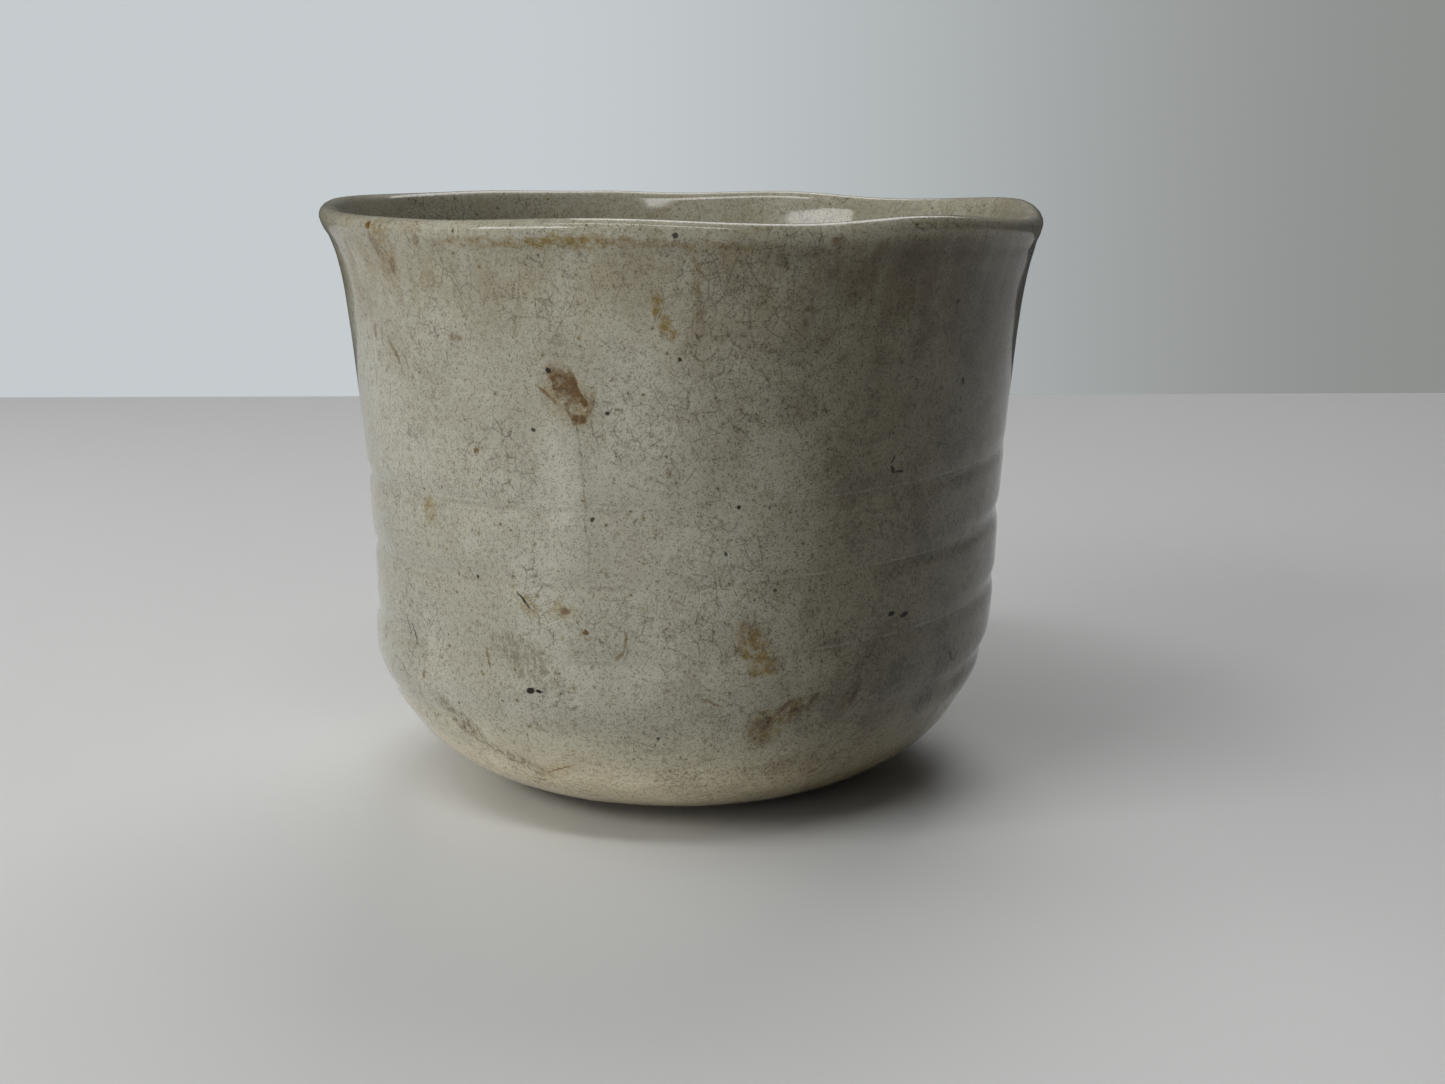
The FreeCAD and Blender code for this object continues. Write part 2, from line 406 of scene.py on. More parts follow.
class Wire:
    # a socket that can be added, multiplied and so on, which adds the Math nodes

    def __init__(self, tree, socket=None):
        self.tree = tree
        self.socket = socket

    def node(self, kind, settings, inputs, output=0):
        made = self.tree.nodes.new(kind)
        for name, value in settings.items():
            setattr(made, name, value)
        for name, value in inputs.items():
            if isinstance(value, Wire):
                self.tree.links.new(value.socket, made.inputs[name])
            else:
                made.inputs[name].default_value = value
        return Wire(self.tree, made.outputs[output] if len(made.outputs) else None)

    def calc(self, operation, first, second=0.0):
        return self.node("ShaderNodeMath", {"operation": operation}, {0: first, 1: second})

    def __add__(self, other):
        return self.calc("ADD", self, other)

    def __radd__(self, other):
        return self.calc("ADD", other, self)

    def __sub__(self, other):
        return self.calc("SUBTRACT", self, other)

    def __rsub__(self, other):
        return self.calc("SUBTRACT", other, self)

    def __mul__(self, other):
        return self.calc("MULTIPLY", self, other)

    def __rmul__(self, other):
        return self.calc("MULTIPLY", other, self)

    def __truediv__(self, other):
        return self.calc("DIVIDE", self, other)

    def __abs__(self):
        return self.calc("ABSOLUTE", self)

    def most(self, other):
        return self.calc("MAXIMUM", self, other)

    def between(self, low, high, outLow=0.0, outHigh=1.0):
        return self.node("ShaderNodeMapRange", {"interpolation_type": "SMOOTHSTEP"},
                         {0: self, 1: low, 2: high, 3: outLow, 4: outHigh})

    def bell(self, middle, width):
        # 1 at the middle, 0 a width away from it
        return abs(self - middle).between(0.0, width, 1.0, 0.0)

    def tint(self, mask, tone):
        # the colour, laid over with a tone where the mask is 1
        return self.node("ShaderNodeMix", {"data_type": "RGBA"}, {0: mask, 6: self, 7: tone}, 2)

    def dim(self, mask, tone):
        # the colour, multiplied by a tone where the mask is 1
        settings = {"data_type": "RGBA", "blend_type": "MULTIPLY"}
        return self.node("ShaderNodeMix", settings, {0: mask, 6: self, 7: tone}, 2)

    def times(self, scale):
        return self.node("ShaderNodeVectorMath", {"operation": "MULTIPLY"}, {0: self, 1: scale})

    def dot(self, other):
        return self.node("ShaderNodeVectorMath", {"operation": "DOT_PRODUCT"}, {0: self, 1: other}, "Value")

    def shift(self, other):
        return self.node("ShaderNodeVectorMath", {"operation": "ADD"}, {0: self, 1: other})

    def grain(self, size, detail=2.0, roughness=0.5, offset=0.0, output=0):
        # noise whose lumps are this many millimetres across
        return self.node("ShaderNodeTexNoise", {"noise_dimensions": "3D"},
                         {"Vector": self.shift((offset, offset, offset)), "Scale": 1 / size, "Detail": detail,
                          "Roughness": roughness}, output)

    def cells(self, size, feature="F1", output="Distance"):
        return self.node("ShaderNodeTexVoronoi", {"voronoi_dimensions": "3D", "feature": feature},
                         {"Vector": self, "Scale": 1 / size}, output)

    def wobble(self, size, amount, offset=0.0, up=1.0):
        # the same place, pushed about by noise
        push = self.grain(size, 2.0, 0.5, offset, 1).shift((-0.5, -0.5, -0.5))
        return self.shift(push.times((amount, amount, amount * up)))


def newMaterial(name):
    material = bpy.data.materials.new(name)
    material.use_nodes = True
    material.node_tree.nodes.clear()
    return material, Wire(material.node_tree)


def surface(start, **sockets):
    shader = start.node("ShaderNodeBsdfPrincipled", {}, sockets)
    start.node("ShaderNodeOutputMaterial", {}, {"Surface": shader})


def tone(red, green, blue):
    return (red, green, blue, 1.0)


# the marks that a person notices: degrees from the front, height, half length, half width,
# tilt of the length from level, softness of the edge, strength; sizes in millimetres

blackMarks = [
    (-21, 76, 0.5, 0.4, 0, 0.3, 1.0),
    (-24, 67, 0.4, 0.3, 0, 0.4, 0.9),
    (-1, 95, 0.4, 0.3, 20, 0.4, 0.9),
    (-1, 78, 0.3, 0.3, 0, 0.4, 0.9),
    (-12, 70, 0.3, 0.25, 0, 0.4, 0.9),
    (-15, 54, 0.35, 0.3, 0, 0.4, 0.9),
    (8, 56, 0.4, 0.3, 0, 0.3, 1.0),
    (6, 49, 0.3, 0.3, 0, 0.4, 0.9),
    (14, 43, 0.3, 0.3, 0, 0.4, 0.9),
    (-37, 43, 0.3, 0.25, 0, 0.4, 0.9),
    (-42, 22, 0.3, 0.25, 0, 0.4, 0.8),
    (-4, 20, 0.3, 0.25, 0, 0.4, 0.9),
    # a hooked black spot low on the left, and the pair of spots on the right
    (-26, 26.5, 0.8, 0.5, 20, 0.3, 1.0),
    (-24.5, 26.5, 0.6, 0.3, -10, 0.3, 1.0),
    (36, 37, 0.7, 0.35, 10, 0.2, 1.0),
    (39, 36.5, 0.9, 0.4, 5, 0.2, 1.0),
    # a small open ring on the right
    (34.5, 61.5, 0.8, 0.25, 60, 0.3, 1.0),
    (34.5, 60, 0.7, 0.3, -55, 0.3, 1.0),
    (36, 59.5, 0.9, 0.25, -5, 0.3, 1.0),
    (50, 72, 0.7, 0.3, 80, 0.3, 1.0),
    (46, 84.5, 0.5, 0.3, 70, 0.4, 0.9),
    # scratches
    (-57, 32, 1.7, 0.2, -70, 0.5, 0.8),
    (-55, 31, 2.0, 0.2, -65, 0.5, 0.9),
    (-27.5, 40.5, 1.7, 0.22, -45, 0.5, 0.9),
    (54, 27, 1.5, 0.2, -50, 0.5, 0.9),
    (56, 26.5, 1.0, 0.2, 50, 0.5, 0.8),
    (21.5, 70, 0.9, 0.2, -60, 0.5, 0.7),
    (67, 89, 1.2, 0.25, 75, 0.5, 0.7),
]

rustMarks = [
    # the big flaked mark left of the middle, and the drops beside it
    (-18.5, 74, 3.3, 1.6, -50, 0.4, 0.75),
    (-20, 74, 1.9, 0.5, -80, 0.5, 0.9),
    (-17, 74.5, 2.0, 0.5, -70, 0.5, 0.9),
    (-16, 72, 1.7, 0.6, -50, 0.5, 0.95),
    (-21.5, 72.5, 2.0, 0.3, -40, 0.6, 0.7),
    (-16.5, 69, 1.2, 0.8, -10, 0.5, 0.95),
    (-18, 70, 1.8, 0.3, -70, 0.6, 0.7),
    (-14.5, 71, 2.0, 0.45, 70, 0.8, 0.6),
    # under the lip on the left
    (-52, 95.5, 0.6, 0.4, 0, 0.5, 0.9),
    (-52, 93, 2.2, 0.6, 85, 0.7, 0.5),
    (-49, 90, 1.4, 0.8, 80, 0.8, 0.5),
    (-41, 94, 0.9, 0.6, 60, 0.6, 0.5),
    (-53, 76.5, 2.7, 0.4, -50, 0.6, 0.6),
    (-59, 79, 1.2, 0.4, 80, 0.7, 0.5),
    (-37, 80, 1.3, 0.5, 0, 0.6, 0.5),
    (-35, 63, 0.5, 0.4, 0, 0.5, 0.8),
    (2, 84.5, 0.9, 0.6, 90, 0.7, 0.5),
    (18, 85, 0.6, 0.5, 0, 0.5, 0.7),
    (21.5, 94.5, 1.0, 0.6, 10, 0.6, 0.7),
    # the lower wall, left and middle
    (-20, 39.5, 0.8, 0.5, -10, 0.6, 0.6),
    (-16.5, 36.5, 0.5, 0.4, 0, 0.4, 0.9),
    (-10, 35.5, 1.4, 0.25, 80, 0.6, 0.6),
    (-11, 33, 1.0, 0.3, 50, 0.6, 0.6),
    (-35, 30.5, 1.9, 0.3, -65, 0.6, 0.6),
    (-51, 25, 0.8, 0.5, 70, 0.5, 0.7),
    (4.5, 26, 1.5, 0.25, -25, 0.6, 0.6),
    (-24, 12.5, 3.4, 0.22, 25, 0.6, 0.6),
    (-30, 9.5, 1.3, 0.25, 0, 0.6, 0.6),
    (26, 11.5, 1.0, 0.5, 30, 0.7, 0.6),
    # the rust that climbs to the right above the foot
    (14, 22, 1.3, 0.9, 25, 0.6, 0.75),
    (17, 24.5, 1.6, 0.5, 40, 0.7, 0.65),
    (19.5, 24, 1.6, 0.5, 10, 0.7, 0.65),
    (22, 25.5, 1.3, 0.4, 50, 0.6, 0.7),
    (30, 25, 2.2, 0.5, 70, 0.7, 0.65),
    (54, 46, 2.4, 0.35, 35, 0.7, 0.6),
    (83, 38, 2.4, 0.5, 80, 0.7, 0.5),
    (65, 83, 1.9, 0.4, 85, 0.8, 0.5),
]

amberStains = [
    (-4, 85.5, 2.0, 0.8, -85, 0.8, 0.8),
    (-3, 82.5, 1.8, 0.9, -65, 0.8, 0.8),
    (1.5, 88, 5.5, 0.5, 90, 0.9, 0.4),
    (-50, 92, 4.6, 2.6, 80, 0.8, 0.55),
    (-41, 88.5, 1.9, 1.3, 80, 0.9, 0.35),
    (-17, 94, 9.0, 0.8, 0, 0.9, 0.75),
    (-29, 94, 7.0, 0.6, 0, 0.9, 0.45),
    (0, 94, 12.0, 0.6, 0, 0.9, 0.4),
    (-16, 70, 1.6, 1.0, -70, 0.9, 0.5),
    (-47.5, 52, 2.6, 1.7, -60, 0.8, 0.5),
    (35, 85, 1.8, 1.2, 80, 0.8, 0.55),
    (9, 36.5, 2.2, 0.8, 85, 0.9, 0.5),
    (11, 34, 3.7, 2.2, -65, 0.9, 0.8),
    (12.5, 31.5, 2.3, 1.8, 0, 0.9, 0.8),
    (14, 21.5, 3.2, 2.4, 40, 0.9, 0.7),
    (18, 23.5, 3.8, 1.7, 25, 0.9, 0.7),
    (29, 25, 2.4, 0.9, 65, 0.9, 0.6),
    (37.5, 35.5, 2.8, 1.4, 5, 0.9, 0.35),
    (-27, 40, 2.4, 1.1, -35, 0.9, 0.45),
    (-20.5, 39.5, 2.8, 1.4, -10, 0.9, 0.4),
    (-25, 12, 4.4, 1.7, 25, 0.9, 0.35),
    (-18, 72.5, 4.2, 3.2, -60, 0.9, 0.4),
    (34, 6, 6.0, 1.2, 10, 1.0, 0.3),
]

greyDirt = [
    (-43, 18.5, 6.0, 1.6, -35, 1.0, 0.6),
    (-34, 13.5, 6.5, 1.4, -25, 1.0, 0.6),
    (-27, 31, 6.0, 2.4, -25, 1.0, 0.4),
    (49, 21.5, 6.0, 2.0, 50, 1.0, 0.7),
    (38, 26, 4.0, 2.6, 30, 1.0, 0.5),
    (60, 20, 6.0, 1.4, 45, 1.0, 0.75),
    (52, 27.5, 3.0, 1.8, 40, 1.0, 0.6),
    (46.5, 47, 5.0, 2.0, 20, 1.0, 0.5),
    (61, 49.5, 3.6, 1.0, 65, 1.0, 0.7),
    (59, 39, 3.4, 0.9, 25, 1.0, 0.75),
    (74, 38, 3.0, 0.9, 80, 1.0, 0.7),
]


def marksMask(uv, marks):
    # one mask for a list of marks, each a soft ellipse on the unrolled surface
    # a point's place along and across a mark is the dot product of (u, v, 1) with three numbers
    mask = None
    for angle, height, halfLength, halfWidth, tilt, soft, strength in marks:
        u = math.radians(angle) * unrollRadius
        v = alongAt(height)
        c = math.cos(math.radians(tilt))
        s = math.sin(math.radians(tilt))
        along = uv.dot((c / halfLength, s / halfLength, -(u * c + v * s) / halfLength))
        across = uv.dot((-s / halfWidth, c / halfWidth, (u * s - v * c) / halfWidth))
        away = across.node("ShaderNodeMath", {"operation": "MULTIPLY_ADD"},
                           {0: across, 1: across, 2: along * along})
        one = away.between((1.0 - soft) ** 2, (1.0 + soft * 0.6) ** 2, strength, 0.0)
        mask = one if mask is None else mask.most(one)
    return mask or uv.dot((0.0, 0.0, 0.0))


def marksNear(marks, low, high):
    # the marks that reach into a stretch of the wall, in degrees
    return [m for m in marks if low - 2 - m[2] * 1.4 < m[0] < high + 2 + m[2] * 1.4]


glazeLook = {
    "pale": tone(0.500, 0.485, 0.400),
    "grey": tone(0.410, 0.392, 0.312),
    "pink": tone(0.440, 0.380, 0.308),
    "iron": tone(0.020, 0.016, 0.011),
    # these multiply what is under them
    "light": tone(1.20, 1.20, 1.22),
    "run": tone(1.26, 1.27, 1.34),
    # the right side's tone: partly a browner glaze, partly painted shade
    "brownAndShade": tone(0.40, 0.365, 0.29),
    # inside the mouth: painted shade, a darker tone over the whole inside
    "insideShade": tone(0.86, 0.85, 0.81),
    "tan": tone(0.74, 0.66, 0.50),
    # paler near the foot: partly a cream glaze, partly painted light bounced up from the floor
    "creamAndFloorLight": tone(1.75, 1.64, 1.42),
    "crack": tone(0.32, 0.29, 0.24),
    "rust": tone(0.38, 0.215, 0.03),
    "amber": tone(0.60, 0.45, 0.14),
    # this dark tone is also the painted shadow under the throwing thread
    "dirt": tone(0.36, 0.31, 0.20),
    "bigCrackle": 2.6,
    "smallCrackle": 0.95,
    "speckSpacing": 1.8,
}

glazeGloss = {"Coat Roughness": 0.09, "Coat IOR": 1.5, "Specular IOR Level": 0.2}

# where the washes of the outside begin and are full: millimetres up, or degrees from the front
washes = {
    "shadeRight": (-5.0, 45.0),
    "shadeBack": (-150.0, -85.0),
    "tanLow": (76.0, 90.0),
    "tanHigh": (95.8, 94.6),
    "tanLeft": (-38.0, -62.0),
    "cloud": (50.0, 84.0),
    "creamAndFloorLight": (24.0, 8.0),
    "rimHighlight": (94.6, 95.8),
    "runLow": (42.0, 58.0),
    "runHigh": (74.0, 69.0),
    "runMiddle": -13.4,
    "runWidth": 4.6,
    "runEdge": -10.4,
    "threadLow": (24.0, 30.0),
    "threadHigh": (60.0, 57.0),
}


def glazeTone(start, look):
    # the even colour under everything else, and the places that both coats use
    place3 = start.node("ShaderNodeTexCoord", {}, {}, "Object").times((1000.0, 1000.0, 1000.0))
    x, y, z = (start.node("ShaderNodeSeparateXYZ", {}, {0: place3}, k) for k in range(3))
    slow = place3.grain(17.0, 3.0, 0.55)
    patch = place3.grain(5.5, 4.0, 0.6, 11.0)
    colour = start.node("ShaderNodeMix", {"data_type": "RGBA"},
                        {0: slow.between(0.35, 0.65), 6: look["grey"], 7: look["pale"]}, 2)
    colour = colour.tint(patch.between(0.5, 0.75) * 0.35, look["pink"])
    colour = colour.tint(patch.between(0.5, 0.28) * 0.30, look["grey"])
    return colour, place3, x, y, z, patch


def insideTone(colour, z, patch, inside, look):
    # both coats have this inside the mouth, so that their colours meet, with painted shade over the whole
    # inside
    colour = colour.dim(z.between(60.0, 12.0) * (0.15 + 0.5 * patch) * inside, look["tan"])
    colour = colour.dim(patch.between(0.55, 0.7) * inside * 0.15, look["amber"])
    return colour.dim(inside, look["insideShade"])


def glazeGrain(colour, place3, patch, look, strength):
    # mottling, crackle and iron specks, laid over a colour; gives the new colour and the height
    fine = place3.grain(0.85, 3.0, 0.7, 3.0)
    dust = place3.grain(0.28, 1.0, 0.5, 8.0)
    fleck = place3.wobble(3.0, 2.0, 1.0).times((1.0, 1.0, 0.55)).grain(0.42, 2.0, 0.6, 13.0)
    rough = patch.between(0.30, 0.66, 0.8, 1.4) * strength
    colour = colour.dim(fine.between(0.50, 0.70) * rough * 0.36, look["dirt"])
    colour = colour.dim(fleck.between(0.58, 0.72) * rough * 0.62, look["dirt"])
    colour = colour.dim(dust.between(0.54, 0.70) * strength * 0.72, look["dirt"])
    colour = colour.dim(fine.between(0.5, 0.32) * 0.30, look["light"])

    bent = place3.wobble(1.6, 0.5)
    bigLine = bent.cells(look["bigCrackle"], "DISTANCE_TO_EDGE").between(0.012, 0.05, 1.0, 0.0)
    smallLine = bent.cells(look["smallCrackle"], "DISTANCE_TO_EDGE").between(0.02, 0.11, 1.0, 0.0)
    crackled = place3.grain(14.0, 2.0, 0.5, 21.0).between(0.40, 0.62)
    gaps = place3.grain(1.7, 2.0, 0.6, 27.0).between(0.42, 0.60)
    colour = colour.dim(bigLine * gaps * (0.04 + 0.50 * crackled), look["crack"])
    colour = colour.dim(smallLine * gaps * (0.08 + 0.26 * crackled), look["crack"])
    height = bigLine * (-0.010 - 0.040 * crackled) + smallLine * (-0.006 - 0.012 * crackled)
    height = height + fine * 0.034 + fleck * 0.020

    ironPlace = place3.wobble(0.7, 0.35, 5.0)
    near = ironPlace.cells(look["speckSpacing"]) * look["speckSpacing"]
    ownTone = ironPlace.cells(look["speckSpacing"], "F1", "Color")      # a random tone for each speck
    chance = colour.node("ShaderNodeSeparateColor", {}, {0: ownTone}, 0)
    colour = colour.dim(near.between(0.15, 0.65, 1.0, 0.0) * chance.between(0.6, 0.95) * 0.45, look["amber"])
    colour = colour.tint(near.between(0.09, 0.26, 1.0, 0.0) * chance.between(0.30, 0.85) * 0.80, look["iron"])
    return colour, height


def outsideGlaze(low, high):
    # the glaze of one upright stretch of the outside, in degrees, with the marks that are on it
    look = glazeLook
    w = washes
    material, start = newMaterial("crackle glaze " + str(low))
    colour, place3, x, y, z, patch = glazeTone(start, look)
    uv = start.node("ShaderNodeUVMap", {"uv_map": "unrolled"}, {})
    angle = start.node("ShaderNodeMath", {"operation": "ARCTAN2"}, {0: x, 1: 0.0 - y}) * (180 / math.pi)

    # darker and browner towards the right (partly a browner glaze, partly painted shade), tan under the lip,
    # paler near the foot (partly a cream glaze, partly painted light from the floor), lighter at the lip
    # (painted highlight), and the pale run
    feather = place3.times((1.0, 1.0, 0.3)).grain(4.5, 3.0, 0.6, 37.0).between(0.36, 0.64)
    cloud = place3.grain(9.0, 3.0, 0.6, 31.0).between(0.40, 0.66)
    v = start.node("ShaderNodeSeparateXYZ", {}, {0: uv}, 1)
    outer = v.between(crestLine - 2.2, crestLine + 0.8, 1.0, 0.0)       # 1 outside, 0 inside the mouth
    right = (angle + patch * 14.0).between(*w["shadeRight"]) * (angle * -1.0).between(*w["shadeBack"]) * outer
    # painted shade, partly a browner glaze: the right side, fading round the back, is multiplied darker, with
    # patchy dirt over it
    colour = colour.dim(right, look["brownAndShade"])
    colour = colour.dim(patch.between(0.44, 0.66) * right * 0.35, look["dirt"])
    underLip = z.between(*w["tanLow"]) * z.between(*w["tanHigh"]) * (0.25 + 0.75 * feather) * outer
    farLeft = angle.between(*w["tanLeft"], 0.0, 0.45)
    colour = colour.dim(underLip * (0.55 + 0.45 * right + farLeft), look["tan"])
    colour = colour.dim(underLip * right * 0.6, look["tan"])
    colour = colour.dim(cloud * z.between(*w["cloud"]) * 0.30, look["tan"])
    # paler low on the belly: partly cream glaze, partly painted light from the floor
    colour = colour.dim(z.between(*w["creamAndFloorLight"]) * 0.9, look["creamAndFloorLight"])
    # painted highlight: lighter along the lip
    colour = colour.dim(z.between(*w["rimHighlight"]) * 0.5, look["light"])
    leaning = angle + z * handwork["runLean"]
    inRun = (leaning + patch * 5.0).bell(w["runMiddle"], w["runWidth"])
    inRun = inRun * z.between(*w["runLow"]) * z.between(*w["runHigh"])
    colour = colour.dim(inRun * (0.4 + 0.6 * feather), look["run"])
    colour = insideTone(colour, z, patch, 1.0 - outer, look)
    colour, height = glazeGrain(colour, place3, patch, look, 0.85 + 0.55 * right)

    # upright cracks under the lip, and one down the edge of the run
    upright = place3.times((1.0, 1.0, 0.28)).wobble(1.6, 1.1).cells(3.4, "DISTANCE_TO_EDGE")
    uprightLine = upright.between(0.006, 0.026, 1.0, 0.0) * z.between(78.0, 86.0) * z.between(94.5, 92.5)
    uprightLine = uprightLine * place3.grain(3.0, 2.0, 0.6, 33.0).between(0.40, 0.58)
    runEdge = (leaning + patch * 3.4).bell(w["runEdge"], 0.28)
    runEdge = runEdge * z.between(42.0, 50.0) * z.between(72.0, 68.0)
    colour = colour.dim(uprightLine * 0.40, look["crack"])
    colour = colour.dim(runEdge * 0.35, look["crack"])
    height = height + uprightLine * -0.04

    # painted highlight along the thin thread on the throwing line, and painted shadow under it
    turn = (z - bowl["ridgeInFront"]) / bowl["ridgePitch"] - angle / 360 + patch * 0.04
    offset = (turn - start.calc("ROUND", turn)) * bowl["ridgePitch"]
    lined = z.between(*w["threadLow"]) * z.between(*w["threadHigh"]) * feather
    thread = offset.bell(0.50, 0.30) * lined
    colour = colour.tint(thread * 0.22, look["pale"])
    # painted shadow under the thread, in the same dark tone as the dirt
    colour = colour.dim(offset.bell(0.0, 0.5) * lined * 0.25, look["dirt"])
    height = height + thread * 0.05

    # stains and marks
    soft = uv.wobble(2.6, 2.4, 4.0, 0.0).wobble(0.8, 0.9, 9.0, 0.0).shift((0.0, 0.0, 1.0))
    crisp = uv.wobble(0.9, 0.75, 6.0, 0.0).shift((0.0, 0.0, 1.0))
    broken = place3.grain(1.1, 3.0, 0.7, 14.0).between(0.38, 0.60)
    flecked = place3.times((1.0, 1.0, 0.5)).grain(0.7, 3.0, 0.7, 17.0).between(0.44, 0.58)
    amber = marksMask(soft, marksNear(amberStains, low, high)) * (0.35 + 1.1 * broken)
    dirt = marksMask(soft, marksNear(greyDirt, low, high)) * (0.30 + 1.2 * flecked)
    rust = marksMask(crisp, marksNear(rustMarks, low, high)) * (0.80 + 0.5 * broken)
    black = marksMask(crisp, marksNear(blackMarks, low, high))
    colour = colour.dim(dirt, look["dirt"])
    colour = colour.dim(amber, look["amber"])
    colour = colour.dim(rust, look["rust"])
    colour = colour.tint(black, look["iron"])
    height = height - black * 0.05

    normal = start.node("ShaderNodeBump", {}, {"Height": height, "Distance": 0.001, "Strength": 1.0})
    surface(start, **{"Base Color": colour, "Roughness": 0.42 + patch * 0.15, "Normal": normal,
                      "Coat Weight": 0.85 - black * 0.7}, **glazeGloss)
    return material


def insideGlaze():
    look = glazeLook
    material, start = newMaterial("crackle glaze inside")
    colour, place3, x, y, z, patch = glazeTone(start, look)
    colour = insideTone(colour, z, patch, 1.0, look)
    colour, height = glazeGrain(colour, place3, patch, look, 0.85)
    normal = start.node("ShaderNodeBump", {}, {"Height": height, "Distance": 0.001, "Strength": 1.0})
    surface(start, **{"Base Color": colour, "Roughness": 0.42 + patch * 0.15, "Normal": normal,
                      "Coat Weight": 0.85}, **glazeGloss)
    return material


clayLook = {
    "buff": tone(0.36, 0.27, 0.18),
    "toast": tone(0.22, 0.14, 0.08),
    "grit": tone(0.08, 0.06, 0.045),
    "darkLow": tone(0.10, 0.08, 0.06),
}


def firedClay(name, worn):
    # unglazed stoneware: buff with toasted patches, dark grit and fine turning lines
    look = clayLook
    material, start = newMaterial(name)
    place3 = start.node("ShaderNodeTexCoord", {}, {}, "Object").times((1000.0, 1000.0, 1000.0))
    x, y, z = (start.node("ShaderNodeSeparateXYZ", {}, {0: place3}, k) for k in range(3))
    radius = start.node("ShaderNodeMath", {"operation": "SQRT"}, {0: x * x + y * y})
    patch = place3.grain(9.0, 4.0, 0.6)
    fine = place3.grain(0.8, 3.0, 0.7, 6.0)
    rings = start.node("ShaderNodeMath", {"operation": "SINE"}, {0: radius * 5.2 + patch * 6.0})
    colour = start.node("ShaderNodeMix", {"data_type": "RGBA"},
                        {0: patch.between(0.38, 0.62), 6: look["buff"], 7: look["toast"]}, 2)
    colour = colour.tint(fine.between(0.55, 0.75) * 0.5, look["grit"])
    # darker within the lowest millimetre, where the ring stands on the floor
    colour = colour.tint((z * -1.0).between(-0.9, 0.0) * worn, look["darkLow"])
    near = place3.cells(1.6)
    colour = colour.tint(near.between(0.12, 0.2, 1.0, 0.0), look["grit"])
    height = rings * 0.03 + fine * 0.08
    normal = start.node("ShaderNodeBump", {}, {"Height": height, "Distance": 0.001, "Strength": 1.0})
    surface(start, **{"Base Color": colour, "Roughness": 0.78 + fine * 0.15, "Normal": normal})
    return material


shellDetail = {
    "outsideColumns": 400,
    "insideColumns": 300,
    "hiddenColumns": 100,
    "clayColumns": 200,
    "stretches": (-85, -50, -34, -22, -9, 8, 24, 42, 90),   # degrees from the front
}


def makeOutsideGlaze():
    shell = Shell()
    outer = [shell.ring(p, d, shellDetail["outsideColumns"], bowl["glaze"], outsideRelief)
             for p, d in cut(fineRows, fineLengths, bareLine, overlapLine)]
    total = fineLengths[-1]
    hidden = [shell.ring(p, total + 8 + (overlapLine - d) * 0.4, shellDetail["hiddenColumns"], 0.0)
              for p, d in cut(coarseRows, coarseLengths, bareLine, overlapLine)]
    rings = outer + hidden[::-1]
    for low, up in zip(rings, rings[1:] + rings[:1]):
        shell.join(low, up)
    # the marks are worked out only where they are: one material for each stretch, and a plain one
    edges = shellDetail["stretches"]
    stretches = list(zip(edges, edges[1:]))
    materials = [outsideGlaze(low, high) for low, high in stretches] + [outsideGlaze(400, 400)]

    def choose(turn, along):
        angle = turn * 360 - 180
        if along <= total:
            for k, (low, high) in enumerate(stretches):
                if low <= angle < high:
                    return k
        return len(stretches)

    shell.finish("outsideGlaze", materials, ["outside_glaze"], choose)


def makeInsideGlaze():
    shell = Shell()
    outer = [shell.ring(p, d, shellDetail["insideColumns"], bowl["glaze"], insideRelief)
             for p, d in cut(fineRows, fineLengths, overlapLine, 1e9)]
    wellTop = bowl["footHeight"] + bowl["floor"]
    total = fineLengths[-1]
    shell.cap(outer[-1], (wellTop + bowl["glaze"]) * high, total + bowl["wellRadius"])
    hidden = [shell.ring(p, total + 12 + (total - d) * 0.4, shellDetail["hiddenColumns"], 0.0)
              for p, d in cut(coarseRows, coarseLengths, overlapLine, 1e9)]
    shell.cap(hidden[-1], wellTop * high, total + 10)
    for rings in (outer, hidden):
        for low, up in zip(rings, rings[1:]):
            shell.join(low, up)
    shell.join(outer[0], hidden[0])
    shell.finish("insideGlaze", [insideGlaze()], ["inside_glaze"])


def makeClayBody():
    shell = Shell()
    columns = shellDetail["clayColumns"]
    innerR = bowl["footRadius"] - bowl["footWall"]
    topR = innerR - bowl["recessSlope"]
    under = []
    for k in range(12):
        r = 3 + (topR - 3) * k / 11
        turningMark = 0.12 * math.sin(r * 2.1)
        under.append((r, bowl["footHeight"] + bowl["recessDepth"] - turningMark, 0.0, -1.0, False))
    for k in range(1, 4):
        z = bowl["footHeight"] + bowl["recessDepth"] * (1 - k / 3)
        under.append((topR + (innerR - topR) * k / 3, z, 0.0, -1.0, False))
    points = under + coarseRows
    lengths = lengthsOf(points)
    rings = [shell.ring(p, d, columns, 0.0) for p, d in zip(points, lengths)]
    shell.cap(rings[0], (bowl["footHeight"] + bowl["recessDepth"]) * high, -3.0)
    shell.cap(rings[-1], (bowl["footHeight"] + bowl["floor"]) * high, lengths[-1] + 8)
    for low, up in zip(rings, rings[1:]):
        shell.join(low, up)
    shell.finish("clayBody", [firedClay("fired clay", 0.0)], ["clay_body"])


footLook = {"columns": 240, "edge": 0.5, "wear": 0.12}


